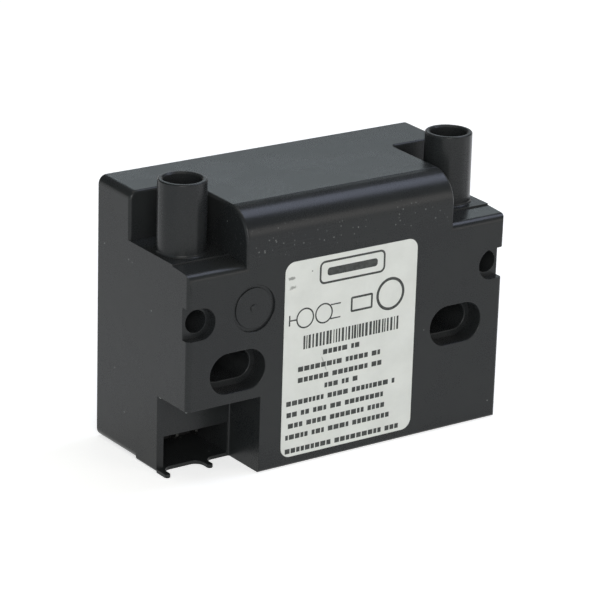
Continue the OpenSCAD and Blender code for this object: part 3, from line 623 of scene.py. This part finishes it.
caseShape = {
    "merge": 0.01,                         # mm, corners closer than this become one
    "flatAngle": 0.6,                      # degrees, faces that differ less become one
    "sharpAngle": 32,                      # degrees, an edge bent more than this can be rounded
    "frontY": (-21.1, -20.7),              # mm, round the front face
    "gate": (-29.2, 44.2, 6.6, 0.08),      # x, z, radius of the round mark, radius of its edges
    # whole chains of edges that get a small radius: side ("both" repeats it on the right),
    # x, y and z range, bend, radius, segments (mm)
    "rounded": {
        "slotRim": ("both", -42.5, -24.5, -21.1, -20.9, 22.5, 34.5, "convex", 0.30, 3),
        "slotShelf": ("both", -42.5, -24.5, -16.1, -15.9, 22.5, 34.5, "convex", 0.30, 3),
        "screwHole": ("both", -48.6, -40.0, -21.1, -18.3, 38.5, 47.3, "convex", 0.20, 2),
        "recessCorner": ("left", -26.9, -26.7, -7.7, -7.5, -0.1, 20.6, "concave", 0.40, 3),
        "recess": ("left", -48.6, -26.7, -21.1, -7.5, -0.1, 20.6, "convex", 0.16, 2),
        "ledge": ("both", -48.6, -31.6, -13.6, -13.4, 56.6, 56.7, "convex", 0.10, 2),
        "backRim": ("middle", -48.6, 48.6, 20.9, 21.1, -0.1, 70.1, "convex", 0.20, 2),
    },
}


def copyOfNode(name, joinFlat=True):
    bm = bmesh.new()
    bm.from_mesh(cadNodes[name].data)
    closest = mm(caseShape["merge"])
    bmesh.ops.remove_doubles(bm, verts=bm.verts, dist=closest)
    if joinFlat:
        bmesh.ops.dissolve_degenerate(bm, dist=closest, edges=bm.edges)
        bmesh.ops.dissolve_limit(bm, angle_limit=math.radians(caseShape["flatAngle"]),
                                 verts=bm.verts, edges=bm.edges)
    bm.normal_update()
    return bm


def edgesInBox(bm, x0, x1, y0, y1, z0, z1, bend):
    limit = math.radians(caseShape["sharpAngle"])
    sign = 1 if bend == "convex" else -1

    def inside(corner):
        x, y, z = corner / mm(1)
        return x0 <= x <= x1 and y0 <= y <= y1 and z0 <= z <= z1
    return [e for e in bm.edges if len(e.link_faces) == 2
            and sign * e.calc_face_angle_signed(0) > limit and all(inside(v.co) for v in e.verts)]


def roundEdges(bm, edges, radius, segments):
    if edges:
        bmesh.ops.bevel(bm, geom=edges, offset=mm(radius), offset_type="OFFSET",
                        affect="EDGES", segments=segments, profile=0.5, material=-1,
                        clamp_overlap=False)


def makeCase():
    bm = copyOfNode("case")
    for name, (side, x0, x1, y0, y1, z0, z1, bend, radius, segments) in \
            caseShape["rounded"].items():
        boxes = [(x0, x1)] + ([(-x1, -x0)] if side == "both" else [])
        for low, high in boxes:
            edges = edgesInBox(bm, low, high, y0, y1, z0, z1, bend)
            print("case:", name, len(edges), "edges")
            roundEdges(bm, edges, radius, segments)
    gateX, gateZ, gateR, gateEdge = caseShape["gate"]
    gate = edgesInBox(bm, gateX - gateR, gateX + gateR, *caseShape["frontY"],
                      gateZ - gateR, gateZ + gateR, "convex")
    roundEdges(bm, gate, gateEdge, 1)
    case = finishPiece("moulded_case", bm, casePlastic, "case_plastic", smoothBelow,
                       flatFaces=True)
    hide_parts("case")


makeCase()
print("stage: case is made")


# Label: film with rounded corners and a plain generic print

labelShape = {
    "left": -20.3, "right": 20.3, "bottom": 2.5, "top": 54.3,
    "face": -21.0,              # y of the case's front
    "film": 0.10, "ink": 0.02,  # thicknesses
    "cornerR": 2.8,
    "edgeR": 0.04,
    "markHigh": 1.3,            # so that a row is as dark as a row of small print
    "markWide": (0.8, 1.6),
    "markGap": 0.32,
    "wordGap": 1.25,
    "marksInWord": (2, 9),
    # rows of marks: left, right and foot
    "rows": [(-8.2, 4.5, 28.2), (-15.7, 10.4, 24.9), (-15.65, 10.7, 21.95), (-7.4, 3.9, 19.15),
             (-19.0, 15.2, 16.2), (-18.8, 12.3, 13.15), (-18.3, 13.0, 10.15),
             (-19.0, 14.0, 7.15), (-19.0, 17.5, 3.4)],
    "bars": (-14.3, 15.1, 30.7, 34.3),
    "barWide": (0.22, 0.75),
    "barGap": (0.22, 0.6),
    "stroke": 0.55,
    # rings: middle x and z, radius, stroke
    "rings": [(-14.0, 39.0, 2.7, 0.4), (-8.3, 39.2, 2.7, 0.4), (12.2, 40.7, 4.4, 0.75)],
    "headFrame": (-10.0, 10.2, 46.9, 53.0, 1.6),
    "headBar": (-7.6, 7.8, 48.9, 51.0, 0.8),
    "middleFrame": (-0.1, 6.7, 37.9, 42.0, 0.5),
    # short plain lines beside the rings: x and z ranges
    "lines": [(-6.3, -3.2, 37.2, 37.55), (-6.3, -3.2, 40.9, 41.25), (-18.6, -16.6, 38.8, 39.15),
              (-18.9, -18.5, 37.6, 40.4)],
}


def keepOutline(bm, face, stroke):
    bmesh.ops.inset_region(bm, faces=[face], thickness=mm(stroke), use_boundary=True,
                           use_even_offset=True)
    bmesh.ops.delete(bm, geom=[face], context="FACES")


def addPlate(bm, x0, x1, z0, z1, y, corner=0.0, stroke=0.0):
    # A flat plate that faces forward, with rounded corners, or only its outline
    upright = Matrix.LocRotScale(Vector((mm(x0 + x1) / 2, mm(y), mm(z0 + z1) / 2)),
                                 Matrix.Rotation(math.radians(90), 3, "X").to_quaternion(),
                                 Vector((mm(x1 - x0), mm(z1 - z0), 1)))
    verts = bmesh.ops.create_grid(bm, x_segments=1, y_segments=1, size=0.5,
                                  matrix=upright)["verts"]
    if corner:
        verts = bmesh.ops.bevel(bm, geom=verts, offset=mm(corner), affect="VERTICES",
                                segments=8, profile=0.5, material=-1)["verts"]
    if stroke:
        keepOutline(bm, verts[0].link_faces[0], stroke)


def addRing(bm, x, z, radius, y, stroke):
    made = bmesh.ops.create_circle(bm, cap_ends=True, radius=mm(radius), segments=48,
                                   matrix=Matrix.Translation((mm(x), mm(y), mm(z)))
                                   @ Matrix.Rotation(math.radians(90), 4, "X"))
    keepOutline(bm, made["verts"][0].link_faces[0], stroke)


def thicken(bm, thickness):   # from the plate's back to its front
    bmesh.ops.recalc_face_normals(bm, faces=bm.faces)
    for face in bm.faces:
        if face.normal.y > 0:
            face.normal_flip()
    made = bmesh.ops.extrude_face_region(bm, geom=list(bm.faces) + list(bm.edges),
                                         use_keep_orig=True)
    front = [v for v in made["geom"] if isinstance(v, bmesh.types.BMVert)]
    bmesh.ops.translate(bm, verts=front, vec=(0, mm(-thickness), 0))
    bmesh.ops.recalc_face_normals(bm, faces=bm.faces)


def makeLabel():
    shape = labelShape
    bm = bmesh.new()
    addPlate(bm, shape["left"], shape["right"], shape["bottom"], shape["top"], shape["face"],
             shape["cornerR"])
    thicken(bm, shape["film"])
    frontY = mm(shape["face"] - shape["film"])
    rim = [e for e in bm.edges if all(abs(v.co.y - frontY) < 1e-6 for v in e.verts)]
    roundEdges(bm, rim, shape["edgeR"], 2)
    film = finishPiece("label_on_front", bm, labelFilm, "label_film", smoothBelow,
                       flatFaces=True)
    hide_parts("rating_label")


def makePrint():
    shape = labelShape
    y = shape["face"] - shape["film"]
    bm = bmesh.new()
    for left, right, foot in shape["rows"]:
        x = left
        while x < right:
            for _ in range(chance.randint(*shape["marksInWord"])):
                wide = chance.uniform(*shape["markWide"])
                if x + wide > right:
                    x = right
                    break
                addPlate(bm, x, x + wide, foot, foot + shape["markHigh"], y)
                x += wide + shape["markGap"]
            x += shape["wordGap"] - shape["markGap"]
    left, right, foot, top = shape["bars"]
    x = left
    while x < right:
        wide = chance.uniform(*shape["barWide"])
        addPlate(bm, x, min(x + wide, right), foot, top, y)
        x += wide + chance.uniform(*shape["barGap"])
    for x, z, radius, stroke in shape["rings"]:
        addRing(bm, x, z, radius, y, stroke)
    for x0, x1, z0, z1 in shape["lines"]:
        addPlate(bm, x0, x1, z0, z1, y)
    for name in ("headFrame", "middleFrame"):
        x0, x1, z0, z1, corner = shape[name]
        addPlate(bm, x0, x1, z0, z1, y, corner, shape["stroke"])
    x0, x1, z0, z1, corner = shape["headBar"]
    addPlate(bm, x0, x1, z0, z1, y, corner)
    thicken(bm, shape["ink"])
    finishPiece("label_print", bm, printInk, "label_film")


makeLabel()
makePrint()
print("stage: label and its print are made")


# Back: the poured resin climbs the walls a little, so its surface dips towards the middle

resinShape = {
    "level": 20.2,        # y of the seal coat's back
    "nearLevel": 0.02,    # mm
    "facesBack": 0.99,    # y of the normals of its flat faces, at least
    # rings inwards from the wall: width and how far the surface sinks
    "rings": [(0.3, 0.15), (0.35, 0.08), (0.45, 0.04)],
}


def makeResinSurface():
    bm = copyOfNode("seal_coat", joinFlat=False)   # a flat face with holes can't be joined
    level = mm(resinShape["level"])
    back = [f for f in bm.faces if f.normal.y > resinShape["facesBack"]
            and abs(f.calc_center_median().y - level) < mm(resinShape["nearLevel"])]
    for wide, sink in resinShape["rings"]:
        bmesh.ops.inset_region(bm, faces=back, thickness=mm(wide), use_even_offset=True)
        verts = list({v for f in back for v in f.verts})
        bmesh.ops.translate(bm, verts=verts, vec=(0, mm(-sink), 0))
    surface = finishPiece("resin_surface", bm, pottingResin, "resin", smoothBelow)
    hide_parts("seal_coat")


makeResinSurface()
print("stage: resin surface is made")


# Moulding flash: two pale torn slivers that hang from the edge over the connection recess

flashShape = {
    "slivers": {
        # middle (x, y, z) and half sizes (mm)
        "inner": ((-48.30, -8.7, 20.55), (0.16, 0.55, 0.36)),
        "outer": ((-48.05, -20.0, 20.42), (0.30, 0.40, 0.30)),
    },
    "ragged": (0.7, 1.0),   # shares of its radius between which each point lies
    "smoothBelow": 30,      # degrees
}


def makeFlash():
    # Torn polyamide turns pale where it was stretched
    material, tree, place = startMaterial("stretchedPolyamide")
    torn = addNode(tree, "ShaderNodeTexNoise", {}, {
        "Vector": place, "Scale": perMetre(0.4), "Detail": 3.0})
    colour = addNode(tree, "ShaderNodeValToRGB", {}, {"Fac": torn}, stops=[
        (0.35, "#5e6160"), (0.6, "#a5a8a6")])
    finishMaterial(tree, {"Base Color": colour, "Roughness": 0.6})
    bm = bmesh.new()
    for middle, half in flashShape["slivers"].values():
        made = bmesh.ops.create_icosphere(bm, subdivisions=2, radius=1.0)
        for v in made["verts"]:
            v.co *= chance.uniform(*flashShape["ragged"])
        bmesh.ops.scale(bm, verts=made["verts"], vec=[mm(h) for h in half])
        bmesh.ops.translate(bm, verts=made["verts"], vec=[mm(m) for m in middle])
    finishPiece("moulding_flash", bm, material, "case_plastic", flashShape["smoothBelow"])


makeFlash()
print("stage: moulding flash is made")


# Pieces that keep their CAD shape get the finish of the real ones

nodeFinishes = {
    "potting_resin": pottingResin,
    "core_e_stack": coreSteel,
    "core_i_stack": coreSteel,
    "shunt_left": coreSteel,
    "shunt_right": coreSteel,
    "primary_bobbin": bobbinNylon,
    "lower_secondary_bobbin": bobbinNylon,
    "upper_secondary_bobbin": bobbinNylon,
    "primary_winding": windingCopper,
    "lower_secondary_winding": windingCopper,
    "upper_secondary_winding": windingCopper,
    "primary_wrap": windingTape,
    "hv_contact_left": turnedBrass,
    "hv_contact_right": turnedBrass,
    "hv_lead_left": redSheath,
    "hv_lead_right": redSheath,
    "terminal_block": terminalPlastic,
    "live_tab": tinnedBrass,
    "earth_tab": tinnedBrass,
    "neutral_tab": tinnedBrass,
    "live_lead": brownSheath,
    "neutral_lead": blueSheath,
    "earth_lead": earthSheath,
    "case": casePlastic,
    "rating_label": labelFilm,
    "seal_coat": pottingResin,
}

for nodeName, finish in nodeFinishes.items():
    slots = cadNodes[nodeName].data.materials
    slots.clear()
    slots.append(finish)
print("stage: finishes of the CAD pieces are set")
